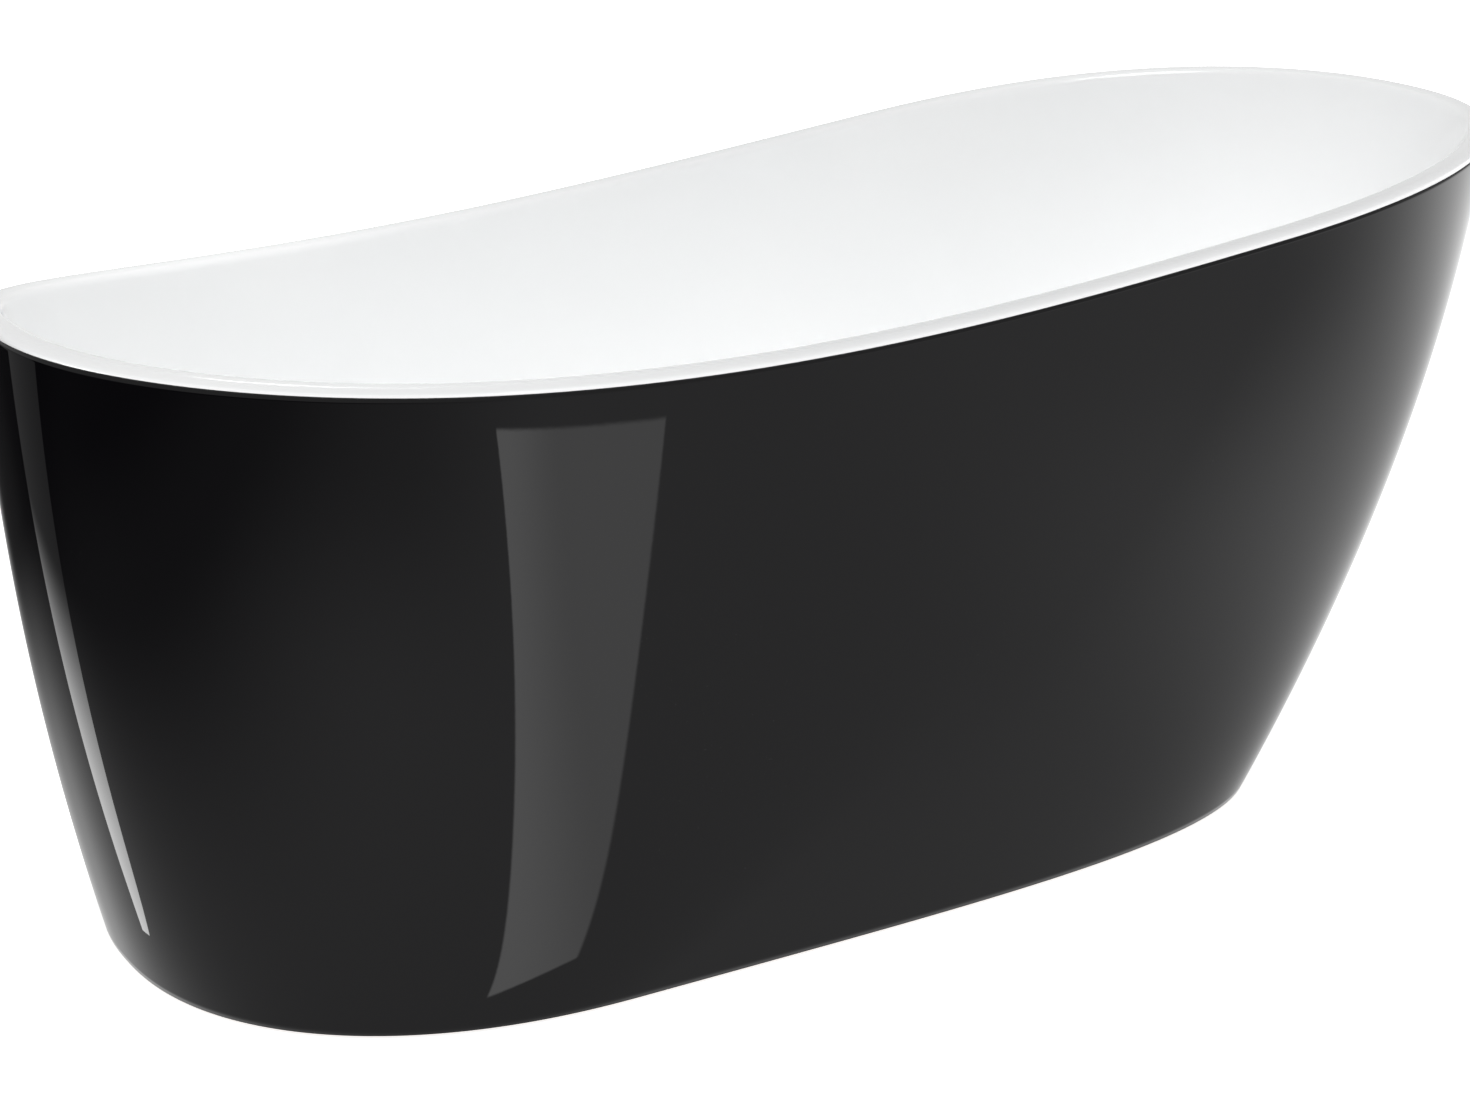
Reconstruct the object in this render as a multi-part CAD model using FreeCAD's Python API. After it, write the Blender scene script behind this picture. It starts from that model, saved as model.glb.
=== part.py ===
"""Freestanding slipper bathtub: white moulded bowl, black outer skirt, steel base frame, levelling feet,
click-clack waste and overflow.

Frame: millimetres, +X from the low foot end to the raised head end, +Z up, Y = 0 is the plane of symmetry.
The origin is on the floor below the middle of the tub's length and width.
"""
import FreeCAD, Part
import math
import os

os.makedirs("parts", exist_ok=True)
V = FreeCAD.Vector

# ---------------------------------------------------------------- driving dimensions (mm)
LENGTH = 1700.0
WIDTH = 756.0

# plan of the rim: two superellipse halves that meet at the widest station
RIM_WIDEST_X = 337.0
RIM_FOOT_POWER = 2.52
RIM_HEAD_POWER = 2.16
# height of the rim's crest along the length: mean height and four shape terms
RIM_MEAN = 643.2
RIM_RISE = 78.2
RIM_DISH = 56.3
RIM_SWAY = -45.1
RIM_EASE = -6.4

# plan of the skirt where it meets the floor
BASE_FOOT_REACH = 769.0
BASE_HEAD_REACH = 518.0
BASE_WIDTH = 661.5
BASE_WIDEST_X = -375.0
BASE_FOOT_POWER = 2.25
BASE_HEAD_POWER = 4.0
# how far the skirt swells between base and rim: 1 is a straight wall, 2 arrives upright at the rim
FOOT_SWELL = 1.97
HEAD_SWELL = 1.64
SIDE_SWELL = 1.32

# rim section: hanging lip, rounded corner, gently falling crest, roll into the inner wall
LIP_DROP = 9.6
LIP_CORNER = 6.0
CREST_END = 18.0
CREST_ARC = 60.0
ROLL_RADIUS = 9.0
ROLL_END_ANGLE = 80.0
ROLL_HEAD_EASE = 20.0

# bowl
FLOOR_Z = 150.0
FLOOR_FOOT_REACH = 600.0
FLOOR_HEAD_REACH = 330.0
FLOOR_WIDTH = 400.0
FLOOR_WIDEST_X = -150.0
FLOOR_POWER = 2.3
SIDE_LEAN = 0.45
HEAD_LEAN = 0.70
WALL_FULLNESS = 0.74

# layers
ACRYLIC = 5.0
GLASSFIBRE = 4.0
LAYER_GAP = 0.3
SKIRT_RECESS = 0.8
SKIRT_WALL = 5.5
SKIRT_GAP_BELOW = 3.0
SKIRT_TOP_DROP = 10.0
FLANGE_REACH = 20.0
FLANGE_THICK = 5.0
BOND_GAP = 0.5
ADHESIVE_FROM = 8.0
ADHESIVE_TO = 16.0

# battens, board and frame
BATTEN_LOW = 8.0
BATTEN_HIGH = 48.0
BATTEN_THICK = 18.0
BATTEN_GAP = 1.0
BOARD_THICK = 18.0
BOARD_MARGIN = 10.0
TUBE = 30.0
TUBE_WALL = 2.0
RAIL_Y = 170.0
RAIL_FOOT_X = -575.0
RAIL_HEAD_X = 335.0
CROSSBAR_X = {"foot": -400.0, "middle": -30.0, "head": 240.0}
CAP_PLATE = 3.0
CAP_PLUG = 12.0
CAP_SLACK = 0.2
BOARD_SCREW_X = [-450.0, -250.0, 60.0, 180.0]
BOARD_SCREW_R = 2.5
BRACKET_WIDE = 30.0
BRACKET_LEG = 42.0
BRACKET_THICK = 3.0
BRACKET_LOW = 14.0
BRACKET_GAP = 0.5
BRACKET_SCREW_R = 2.0
BRACKET_SCREW_LONG = 14.0
BRACKET_SCREW_Z = [22.0, 36.0]

# levelling feet
FOOT_X = [-540.0, 300.0]
STUD_R = 6.0
NUT_BORE_R = 6.08
NUT_ACROSS_FLATS = 18.0
NUT_HIGH = 10.0
PAD_R = 25.0
PAD_HIGH = 15.0
PAD_SOCKET_FLOOR = 4.7
JOINT_GAP = 0.3

# waste
DRAIN_X = -470.0
DRAIN_HOLE_R = 26.0
FLANGE_R = 36.0
THROAT_R = 20.0
THROAT_OUT_R = 23.0
BODY_HOLE_R = 48.0
BRANCH_Z = 101.0
TAIL_R = 20.0
TAIL_BORE_R = 18.0
TAIL_END_Z = 22.0
TAIL_NUT_LOW = 58.0

# overflow
OVERFLOW_Z = 480.0
OVERFLOW_HOLE_R = 24.0
HOSE_R = 14.0
HOSE_BORE_R = 11.5
HOSE_NUT_R = 19.0
COVER_STAND_OFF = 2.2

ANGLE_STEPS = 28
HALF = LENGTH / 2


# ---------------------------------------------------------------- form of the tub
def egg(foot_reach, head_reach, half_width, widest_x, foot_power, head_power, angle):
    """Point of an egg-shaped plan: angle 0 is the head end, pi the foot end."""
    c = math.cos(angle)
    s = math.sin(angle)
    if c >= 0:
        reach = head_reach - widest_x
        power = head_power
    else:
        reach = foot_reach + widest_x
        power = foot_power
    scale = (abs(c) ** power + abs(s) ** power) ** (-1 / power)
    return V(widest_x + reach * c * scale, half_width * s * scale, 0)


def rim_plan(angle):
    return egg(HALF, HALF, WIDTH / 2, RIM_WIDEST_X, RIM_FOOT_POWER, RIM_HEAD_POWER, angle)


def base_plan(angle):
    return egg(BASE_FOOT_REACH, BASE_HEAD_REACH, BASE_WIDTH / 2, BASE_WIDEST_X,
               BASE_FOOT_POWER, BASE_HEAD_POWER, angle)


def floor_plan(angle, margin=0.0):
    return egg(FLOOR_FOOT_REACH - margin, FLOOR_HEAD_REACH - margin, FLOOR_WIDTH / 2 - margin,
               FLOOR_WIDEST_X, FLOOR_POWER, FLOOR_POWER, angle)


def rim_height(angle):
    u = rim_plan(angle).x / HALF
    return RIM_MEAN + u * (RIM_RISE + u * (RIM_DISH + u * (RIM_SWAY + u * RIM_EASE)))


def outer_form(angle, height):
    """Point of the tub's outer form at a height above the floor."""
    share = height / rim_height(angle)
    rim = rim_plan(angle)
    base = base_plan(angle)
    headward = 0.5 + 0.5 * math.cos(angle)
    end_swell = FOOT_SWELL + (HEAD_SWELL - FOOT_SWELL) * headward
    along = end_swell * share - (end_swell - 1) * share ** 2
    across = SIDE_SWELL * share - (SIDE_SWELL - 1) * share ** 2
    return V(base.x + (rim.x - base.x) * along, base.y + (rim.y - base.y) * across, height)


def plan_normal(angle, height):
    """Outward horizontal direction of the outer form."""
    step = 0.001
    run = outer_form(angle + step, height) - outer_form(angle - step, height)
    normal = V(run.y, -run.x, 0)
    return normal.normalize()


def wall_point(angle, height, inset):
    return outer_form(angle, height) - plan_normal(angle, height) * inset


def rim_point(angle, drop, inset):
    """Point given by its drop below the crest and its inset from the tub's outline."""
    top = rim_height(angle)
    edge = outer_form(angle, top) - plan_normal(angle, top) * inset
    return V(edge.x, edge.y, top - drop)


# ---------------------------------------------------------------- surfaces and solids
def angles():
    return [math.pi * k / ANGLE_STEPS for k in range(ANGLE_STEPS + 1)]


def curve(row):
    line = Part.BSplineCurve()
    line.interpolate(row)
    return line.toShape()


def sheet(rows):
    """Smooth surface through rows of points, with its first and last row as edges."""
    surface = Part.BSplineSurface()
    surface.interpolate(rows)
    first_u, last_u = surface.bounds()[:2]
    return surface.toShape(), surface.uIso(first_u).toShape(), surface.uIso(last_u).toShape()


def both_sides(shape):
    return [shape, shape.mirror(V(0, 0, 0), V(0, 1, 0))]


def stitched(half_faces, whole_faces=()):
    """Solid from faces of one half, their mirror images, and faces that span both halves."""
    faces = list(whole_faces)
    for face in half_faces:
        faces += both_sides(face)
    shell = Part.makeShell(faces)
    shell.sewShape()
    solid = Part.makeSolid(shell)
    if solid.Volume < 0:
        solid.reverse()
    return solid


def strip(low, high):
    """Ruled surface between two edges, joined so that it isn't twisted."""
    faces = [Part.makeRuledSurface(low, edge) for edge in (high, high.reversed())]
    return min(faces, key=lambda face: face.Area)


def flat_face(half_edge):
    return Part.Face(Part.Wire(both_sides(half_edge)))


def ring_solid(outer_rows, inner_rows, top_rows=()):
    """Closed band round the tub between an outer and an inner skin, both given from bottom to top."""
    outer, outer_low, outer_high = sheet(outer_rows)
    inner, inner_low, inner_high = sheet(inner_rows)
    chain = [outer_high] + [curve(row) for row in top_rows] + [inner_high]
    strips = [strip(a, b) for a, b in zip(chain, chain[1:])]
    bottom = strip(outer_low, inner_low)
    return stitched([outer, inner, bottom] + strips)


def turned(outline):
    """Solid of revolution about Z from (radius, height) points."""
    points = [V(r, 0, z) for r, z in outline]
    face = Part.Face(Part.makePolygon(points + points[:1]))
    return face.revolve(V(0, 0, 0), V(0, 0, 1), 360)


def rod(radius, low, high, x=0.0, y=0.0):
    return Part.makeCylinder(radius, high - low, V(x, y, low))


def tube(outer_r, bore_r, low, high, x=0.0, y=0.0):
    return rod(outer_r, low, high, x, y).cut(rod(bore_r, low, high, x, y))


def hexagon(across_flats, low, high):
    corner = across_flats / math.sqrt(3)
    points = [V(corner * math.cos(math.radians(60 * k)), corner * math.sin(math.radians(60 * k)), low)
              for k in range(7)]
    return Part.Face(Part.makePolygon(points)).extrude(V(0, 0, high - low))


def block(low, high):
    size = [b - a for a, b in zip(low, high)]
    return Part.makeBox(size[0], size[1], size[2], V(*low))


def moved(shape, x=0.0, y=0.0, z=0.0):
    copy = shape.copy()
    copy.translate(V(x, y, z))
    return copy


def save(name, shape):
    if isinstance(shape, list):
        shape = Part.makeCompound(shape)
    shape.exportStep("parts/%s.step" % name)


# ---------------------------------------------------------------- bowl
def head_share(angle):
    return max(0.0, math.cos(angle)) ** 2


def rim_section(angle):
    """(drop, inset) pairs from the lip's lower edge over the crest to the top of the inner wall."""
    pairs = [(LIP_DROP, 0.0)]
    for k in range(5):
        turn = math.radians(22.5 * k)
        pairs.append((LIP_CORNER * (1 - math.sin(turn)), LIP_CORNER * (1 - math.cos(turn))))
    for k in (1, 2, 3):
        run = (CREST_END - LIP_CORNER) * k / 3
        pairs.append((run ** 2 / (2 * CREST_ARC), LIP_CORNER + run))
    start = math.atan((CREST_END - LIP_CORNER) / CREST_ARC)
    end = math.radians(ROLL_END_ANGLE - ROLL_HEAD_EASE * head_share(angle))
    crest_drop, crest_inset = pairs[-1]
    for k in range(1, 5):
        turn = start + (end - start) * k / 4
        drop = crest_drop + ROLL_RADIUS * (math.cos(start) - math.cos(turn))
        inset = crest_inset + ROLL_RADIUS * (math.sin(turn) - math.sin(start))
        pairs.append((drop, inset))
    return pairs


WALL_STEPS = 15
RIM_ROWS = len(rim_section(0.0))


def inner_wall(angle):
    """Points down the inner wall, from below the rim's roll to the flat floor."""
    top = rim_point(angle, *rim_section(angle)[-1])
    foot = floor_plan(angle)
    foot.z = FLOOR_Z
    lean = SIDE_LEAN + (HEAD_LEAN - SIDE_LEAN) * head_share(angle)
    corner = V(top.x + (foot.x - top.x) * lean, top.y + (foot.y - top.y) * lean, FLOOR_Z)
    upper = top + (corner - top) * WALL_FULLNESS
    lower = foot + (corner - foot) * WALL_FULLNESS
    points = []
    for k in range(1, WALL_STEPS + 1):
        q = (k / WALL_STEPS) ** 1.5
        p = 1 - q
        points.append(top * p ** 3 + upper * (3 * p * p * q) + lower * (3 * p * q * q) + foot * q ** 3)
    return points


def bowl_column(angle):
    return [rim_point(angle, drop, inset) for drop, inset in rim_section(angle)] + inner_wall(angle)


def bowl_rows(depth, first_row):
    """Rows of points at a depth behind the bowl's wet surface."""
    step = math.pi / ANGLE_STEPS
    columns = [bowl_column(step * k) for k in range(-1, ANGLE_STEPS + 2)]
    last = len(columns[0]) - 1
    rows = []
    for j in range(first_row, last + 1):
        row = []
        for k in range(1, ANGLE_STEPS + 2):
            here = columns[k][j]
            if j == last:
                normal = V(0, 0, 1)
            else:
                round_tub = columns[k + 1][j] - columns[k - 1][j]
                down = columns[k][j + 1] - columns[k][max(j - 1, 0)]
                normal = round_tub.cross(down)
                if k in (1, ANGLE_STEPS + 1):
                    normal.y = 0
                normal.normalize()
            row.append(here - normal * depth)
        rows.append(row)
    return rows


def bowl_skin(depth, first_row):
    """Faces of the wet surface or of one behind it, with the edges at its top and round its floor."""
    rows = bowl_rows(depth, first_row)
    rim_rows = max(0, RIM_ROWS - 1 - first_row)
    wall, wall_edge, floor_edge = sheet(rows[rim_rows:])
    chain = [curve(row) for row in rows[:rim_rows]] + [wall_edge]
    strips = [strip(a, b) for a, b in zip(chain, chain[1:])]
    return [wall] + strips, chain[0], floor_edge


def bowl_layer(near_depth, far_depth, first_row):
    near, near_edge, near_floor = bowl_skin(near_depth, first_row)
    far, far_edge, far_floor = bowl_skin(far_depth, first_row)
    return stitched(near + far + [strip(near_edge, far_edge)],
                    [flat_face(near_floor), flat_face(far_floor)])


def overflow_place():
    """Placement on the foot-end inner wall: local Z into the bowl, local X up the wall."""
    wall = inner_wall(math.pi)
    for upper, lower in zip(wall, wall[1:]):
        if lower.z <= OVERFLOW_Z <= upper.z:
            share = (upper.z - OVERFLOW_Z) / (upper.z - lower.z)
            point = upper + (lower - upper) * share
            up = (upper - lower).normalize()
    into_bowl = V(up.z, 0, -up.x)
    turn = FreeCAD.Rotation(up, into_bowl.cross(up), into_bowl, "ZXY")
    return FreeCAD.Placement(point, turn)


OVERFLOW = overflow_place()


def on_wall(shape):
    copy = shape.copy()
    copy.Placement = OVERFLOW.multiply(copy.Placement)
    return copy


overflow_hole = on_wall(rod(OVERFLOW_HOLE_R, -30, 30))
drain_hole = rod(DRAIN_HOLE_R, FLOOR_Z - 40, FLOOR_Z + 40, DRAIN_X)
backing_depth = ACRYLIC + LAYER_GAP
inner_shell = bowl_layer(0.0, ACRYLIC, 0)
save("inner_shell", inner_shell.cut(overflow_hole).cut(drain_hole))
glassfibre_backing = bowl_layer(backing_depth, backing_depth + GLASSFIBRE, RIM_ROWS + 1)
save("glassfibre_backing", glassfibre_backing.cut(overflow_hole).cut(drain_hole))


# ---------------------------------------------------------------- outer skirt, its bond and its batten
def skirt_rows(inset, top_drop):
    steps = 9
    rows = []
    for j in range(steps + 1):
        row = []
        for angle in angles():
            top = rim_height(angle) - top_drop
            row.append(wall_point(angle, SKIRT_GAP_BELOW + (top - SKIRT_GAP_BELOW) * j / steps, inset))
        rows.append(row)
    return rows


def rim_row(drop, inset):
    return [rim_point(angle, drop, inset) for angle in angles()]


flange_under = SKIRT_TOP_DROP + FLANGE_THICK
skirt_inset = SKIRT_RECESS + SKIRT_WALL
save("outer_skirt", ring_solid(skirt_rows(SKIRT_RECESS, SKIRT_TOP_DROP), skirt_rows(skirt_inset, flange_under),
                               [rim_row(SKIRT_TOP_DROP, FLANGE_REACH), rim_row(flange_under, FLANGE_REACH)]))

bond_high = ACRYLIC + 1.5
bond_low = SKIRT_TOP_DROP - BOND_GAP


def flat_ring(low_rows, high_rows):
    """Band with four flat-sided faces, from two lower and two upper curves."""
    a, b = [curve(row) for row in low_rows]
    c, d = [curve(row) for row in high_rows]
    pairs = [(a, b), (b, d), (d, c), (c, a)]
    return stitched([strip(first, second) for first, second in pairs])


save("rim_adhesive", flat_ring([rim_row(bond_low, ADHESIVE_FROM), rim_row(bond_low, ADHESIVE_TO)],
                               [rim_row(bond_high, ADHESIVE_FROM), rim_row(bond_high, ADHESIVE_TO)]))

batten_inset = skirt_inset + BATTEN_GAP


def batten_inner(angle):
    return wall_point(angle, BATTEN_LOW, batten_inset + BATTEN_THICK)


def at_height(row, z):
    return [V(point.x, point.y, z) for point in row]


def batten_angle(x):
    """Angle on the tub's +Y side where the batten's inner face has the given x."""
    low = 0.0
    high = math.pi
    for _ in range(50):
        middle = (low + high) / 2
        if batten_inner(middle).x > x:
            low = middle
        else:
            high = middle
    return low


batten_face = [batten_inner(angle) for angle in angles()]
batten_out = [[wall_point(angle, z, batten_inset) for angle in angles()] for z in (BATTEN_LOW, BATTEN_HIGH)]
batten_in = [at_height(batten_face, z) for z in (BATTEN_LOW, BATTEN_HIGH)]
skirt_batten = flat_ring([batten_out[0], batten_in[0]], [batten_out[1], batten_in[1]])

# angle brackets between crossbar ends and batten, turned square to the batten's face
frame_top = FLOOR_Z - backing_depth - GLASSFIBRE - LAYER_GAP - BOARD_THICK
rail_low = frame_top - TUBE
crossbar_low = rail_low - TUBE
bracket_top = crossbar_low
brackets = []
bracket_screws = []
bar_reach = {}
half_wide = BRACKET_WIDE / 2
for bar, bar_x in CROSSBAR_X.items():
    angle = batten_angle(bar_x)
    spot = batten_inner(angle)
    normal = plan_normal(angle, BATTEN_LOW)
    bar_reach[bar] = spot.y - 3 * BRACKET_THICK
    heading = math.degrees(math.atan2(normal.y, normal.x)) - 90
    face_y = -BRACKET_GAP
    upright = block((-half_wide, face_y - BRACKET_THICK, BRACKET_LOW), (half_wide, face_y, bracket_top))
    ledge = block((-half_wide, face_y - BRACKET_LEG, bracket_top - BRACKET_THICK),
                  (half_wide, face_y, bracket_top))
    bracket = upright.fuse(ledge).removeSplitter()
    screws = []
    for screw_z in BRACKET_SCREW_Z:
        head_y = face_y - BRACKET_THICK
        shank = Part.makeCylinder(BRACKET_SCREW_R, BRACKET_SCREW_LONG, V(0, head_y, screw_z), V(0, 1, 0))
        head = Part.makeCone(2 * BRACKET_SCREW_R, BRACKET_SCREW_R * 1.5, 2, V(0, head_y, screw_z), V(0, -1, 0))
        hole = Part.makeCylinder(BRACKET_SCREW_R + 0.05, BRACKET_SCREW_LONG + 1, V(0, head_y, screw_z),
                                 V(0, 1, 0))
        bracket = bracket.cut(hole)
        screws.append((shank.fuse(head), hole))
    place = FreeCAD.Placement(V(spot.x, spot.y, 0), FreeCAD.Rotation(V(0, 0, 1), heading))
    bracket.Placement = place
    brackets += both_sides(bracket)
    for screw, hole in screws:
        screw.Placement = place
        hole.Placement = place
        bracket_screws += both_sides(screw)
        for side in both_sides(hole):
            skirt_batten = skirt_batten.cut(side)
save("skirt_batten", skirt_batten)
save("skirt_brackets", brackets)
save("bracket_screws", bracket_screws)

# ---------------------------------------------------------------- base board and steel frame
board_edge = curve([V(p.x, p.y, frame_top) for p in [floor_plan(a, BOARD_MARGIN) for a in angles()]])
base_board = flat_face(board_edge).extrude(V(0, 0, BOARD_THICK))
base_board = base_board.cut(rod(BODY_HOLE_R, frame_top - 1, FLOOR_Z, DRAIN_X))


def box_tube(low, high, axis):
    """Square tube along one axis, open at both ends."""
    inner_low = [v + TUBE_WALL for v in low]
    inner_high = [v - TUBE_WALL for v in high]
    inner_low[axis] = low[axis] - 1
    inner_high[axis] = high[axis] + 1
    return block(low, high).cut(block(inner_low, inner_high))


def end_cap(axis, outward):
    """Plastic plug for a tube's end, its plate outside the tube at the local origin."""
    half = TUBE / 2
    bore = half - TUBE_WALL - CAP_SLACK
    plate = block((-half, -half, 0), (half, half, CAP_PLATE))
    plug = block((-bore, -bore, -CAP_PLUG), (bore, bore, 0))
    cap = plate.fuse(plug)
    direction = [0, 0, 0]
    direction[axis] = outward
    cap.Placement = FreeCAD.Placement(V(0, 0, 0), FreeCAD.Rotation(V(0, 0, 1), V(*direction)))
    return cap


end_caps = []
rails = {}
for side, rail_y in (("left", RAIL_Y), ("right", -RAIL_Y)):
    rails[side] = box_tube((RAIL_FOOT_X, rail_y - TUBE / 2, rail_low),
                           (RAIL_HEAD_X, rail_y + TUBE / 2, frame_top), 0)
    for end_x, outward in ((RAIL_FOOT_X, -1), (RAIL_HEAD_X, 1)):
        end_caps.append(moved(end_cap(0, outward), end_x, rail_y, rail_low + TUBE / 2))

crossbars = {}
for bar, bar_x in CROSSBAR_X.items():
    reach = bar_reach[bar]
    crossbars[bar] = box_tube((bar_x - TUBE / 2, -reach, crossbar_low), (bar_x + TUBE / 2, reach, rail_low), 1)
    for outward in (-1, 1):
        end_caps.append(moved(end_cap(1, outward), bar_x, outward * reach, crossbar_low + TUBE / 2))
save("frame_end_caps", end_caps)

board_screws = []
screw_tip = frame_top + BOARD_THICK - 4
for side, rail_y in (("left", RAIL_Y), ("right", -RAIL_Y)):
    for screw_x in BOARD_SCREW_X:
        shank = rod(BOARD_SCREW_R, rail_low, screw_tip, screw_x, rail_y)
        head = Part.makeCone(BOARD_SCREW_R, 2 * BOARD_SCREW_R, 3, V(screw_x, rail_y, rail_low - 3))
        board_screws.append(shank.fuse(head))
        hole = rod(BOARD_SCREW_R + 0.05, rail_low - 1, screw_tip + 1, screw_x, rail_y)
        rails[side] = rails[side].cut(hole)
        base_board = base_board.cut(hole)
save("base_board", base_board)
save("board_screws", board_screws)

# ---------------------------------------------------------------- levelling feet
feet = []
for foot_x in FOOT_X:
    for side, rail_y in (("left", RAIL_Y), ("right", -RAIL_Y)):
        end = "foot" if foot_x < 0 else "head"
        feet.append(("%s_%s" % (end, side), foot_x, rail_y, rail_low, frame_top - TUBE_WALL))
feet.append(("middle", CROSSBAR_X["middle"], 0.0, crossbar_low, rail_low - TUBE_WALL))

weld_nuts = []
lock_nuts = []
stud_slack = 6.0
for foot, x, y, frame_z, stud_room in feet:
    nut = hexagon(NUT_ACROSS_FLATS, 0, NUT_HIGH).cut(rod(NUT_BORE_R, -1, NUT_HIGH + 1))
    weld_nuts.append(moved(nut, x, y, frame_z - NUT_HIGH))
    lock_nuts.append(moved(nut, x, y, frame_z - 2 * NUT_HIGH - 0.1))
    hole = rod(STUD_R + 0.5, frame_z - 1, frame_z + TUBE_WALL + 1, x, y)
    for group in (rails, crossbars):
        for name in group:
            group[name] = group[name].cut(hole)
    low = PAD_SOCKET_FLOOR + JOINT_GAP
    spanner_low = PAD_HIGH + 4
    stud = rod(STUD_R, low, stud_room - stud_slack)
    stud = stud.fuse(rod(STUD_R + 3, PAD_HIGH + JOINT_GAP, spanner_low))
    stud = stud.fuse(hexagon(2.6 * STUD_R, spanner_low, spanner_low + 8))
    save("foot_stud_" + foot, moved(stud, x, y))
    socket_r = STUD_R + JOINT_GAP
    pad = turned([(0, 0), (PAD_R - 1, 0), (PAD_R, 1), (PAD_R, 6), (PAD_R - 2, 8), (socket_r + 7, 10),
                  (socket_r + 5, PAD_HIGH), (socket_r, PAD_HIGH), (socket_r, PAD_SOCKET_FLOOR),
                  (0, PAD_SOCKET_FLOOR)])
    save("foot_pad_" + foot, moved(pad, x, y))
save("foot_weld_nuts", weld_nuts)
save("foot_lock_nuts", lock_nuts)
for side, rail in rails.items():
    save("frame_rail_" + side, rail)
for bar, solid in crossbars.items():
    save("frame_crossbar_" + bar, solid)

# ---------------------------------------------------------------- waste
seal_thick = 1.2
flange_low = FLOOR_Z + seal_thick
flange_top = flange_low + 3.0
web_high = 126.0
web_low = 118.0
hub_r = 9.0
hub_bore = 7.6
save("drain_flange_seal", tube(FLANGE_R - 2, THROAT_OUT_R + 1, FLOOR_Z + 0.05, flange_low - 0.05, DRAIN_X))

drain_flange = turned([(THROAT_R, flange_low - 40), (THROAT_OUT_R, flange_low - 40), (THROAT_OUT_R, flange_low),
                       (FLANGE_R, flange_low), (FLANGE_R, flange_low + 1), (FLANGE_R - 2, flange_top),
                       (THROAT_R + 6, flange_top), (THROAT_R, flange_low - 2)])
web = rod(hub_r, web_low, web_high)
for turn in (0, 120, 240):
    spoke = block((0, -2, web_low), (THROAT_R + 1, 2, web_high))
    spoke.rotate(V(0, 0, 0), V(0, 0, 1), turn)
    web = web.fuse(spoke)
drain_flange = drain_flange.fuse(web).cut(rod(hub_bore, web_low - 1, web_high + 1))
save("drain_flange", moved(drain_flange, DRAIN_X))

# click-clack cartridge: a closed barrel in the flange's hub, with the spring round the plug's stem inside
stem_r = 3.0
barrel_r = hub_bore - 0.05
cavity_r = 6.3
cavity_low = 100.0
cavity_high = 124.0
cartridge = turned([(stem_r + 0.08, 97.0), (barrel_r, 97.0), (barrel_r, web_high), (hub_r, web_high + 0.05),
                    (hub_r, web_high + 2), (stem_r + 0.08, web_high + 2), (stem_r + 0.08, cavity_high),
                    (cavity_r, cavity_high), (cavity_r, cavity_low), (stem_r + 0.08, cavity_low)])
save("drain_cartridge", moved(cartridge, DRAIN_X))

plug_travel = 9.0
collar_high = cavity_high - plug_travel - 0.2
collar_low = collar_high - 3.0
spring_wire = 0.6
spring_r = 4.6
spring_low = cavity_low + 0.1 + spring_wire
spring_high = collar_low - 0.1 - spring_wire
half_turns = 8
rise = (spring_high - spring_low) / half_turns
half_turn_r = math.hypot(spring_r, rise / 2)
coil_arcs = []
for k in range(half_turns):
    side = (-1) ** k
    coil_arcs.append(Part.Arc(V(side * spring_r, 0, rise * k), V(0, side * half_turn_r, rise * (k + 0.5)),
                              V(-side * spring_r, 0, rise * (k + 1))).toShape())
wire_end = Part.Wire(Part.makeCircle(spring_wire, V(spring_r, 0, 0), V(0, 1, 0)))
coil = Part.Wire(coil_arcs).makePipeShell([wire_end], True, True)
save("drain_spring", moved(coil, DRAIN_X, 0, spring_low))

cap_low = flange_top + 0.3
stem = rod(stem_r, 98.0, cap_low)
stem = stem.fuse(rod(cavity_r - 0.3, collar_low, collar_high))
save("drain_plug_stem", moved(stem, DRAIN_X))
cap = turned([(stem_r, cap_low - 4), (8, cap_low - 4), (9, cap_low), (30, cap_low), (32, cap_low + 1),
              (32, cap_low + 2.4), (30, cap_low + 3.6), (20, cap_low + 4.6), (10, cap_low + 5), (0, cap_low + 5),
              (0, cap_low), (stem_r, cap_low)])
save("drain_plug_cap", moved(cap, DRAIN_X))
# soft ring under the cap that closes the throat's cone
save("drain_plug_seal", moved(turned([(10, cap_low - 2), (19, cap_low - 3), (21, cap_low - 1.5),
                                      (22, cap_low - 0.05), (10, cap_low - 0.05)]), DRAIN_X))

backing_low = FLOOR_Z - backing_depth - GLASSFIBRE
body_top = backing_low - 3.1
save("drain_body_seal", tube(38, THROAT_OUT_R + 2, body_top + 0.05, backing_low - 0.05, DRAIN_X))
body_low = 84.0
drain_body = turned([(THROAT_OUT_R + 0.2, body_top), (40, body_top), (40, body_top - 4), (35, body_top - 6),
                     (35, body_low + 4), (31, body_low), (TAIL_R + 3, body_low), (TAIL_R + 3, 66),
                     (TAIL_R + 0.2, 66), (TAIL_R + 0.2, body_low + 3), (31, body_low + 6),
                     (31, body_top - 12), (THROAT_OUT_R + 0.2, body_top - 8)])
branch_end = -58.0
branch = Part.makeCylinder(HOSE_R + 2.5, 26, V(branch_end, 0, BRANCH_Z), V(1, 0, 0))
core = rod(31, body_low + 6, body_top - 12)
drain_body = drain_body.fuse(branch.cut(core))
drain_body = drain_body.cut(Part.makeCylinder(HOSE_BORE_R, 40, V(branch_end - 1, 0, BRANCH_Z), V(1, 0, 0)))
socket = Part.makeCylinder(HOSE_R + 0.1, 12, V(branch_end - 1, 0, BRANCH_Z), V(1, 0, 0))
save("drain_body", moved(drain_body.cut(socket), DRAIN_X))

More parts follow.
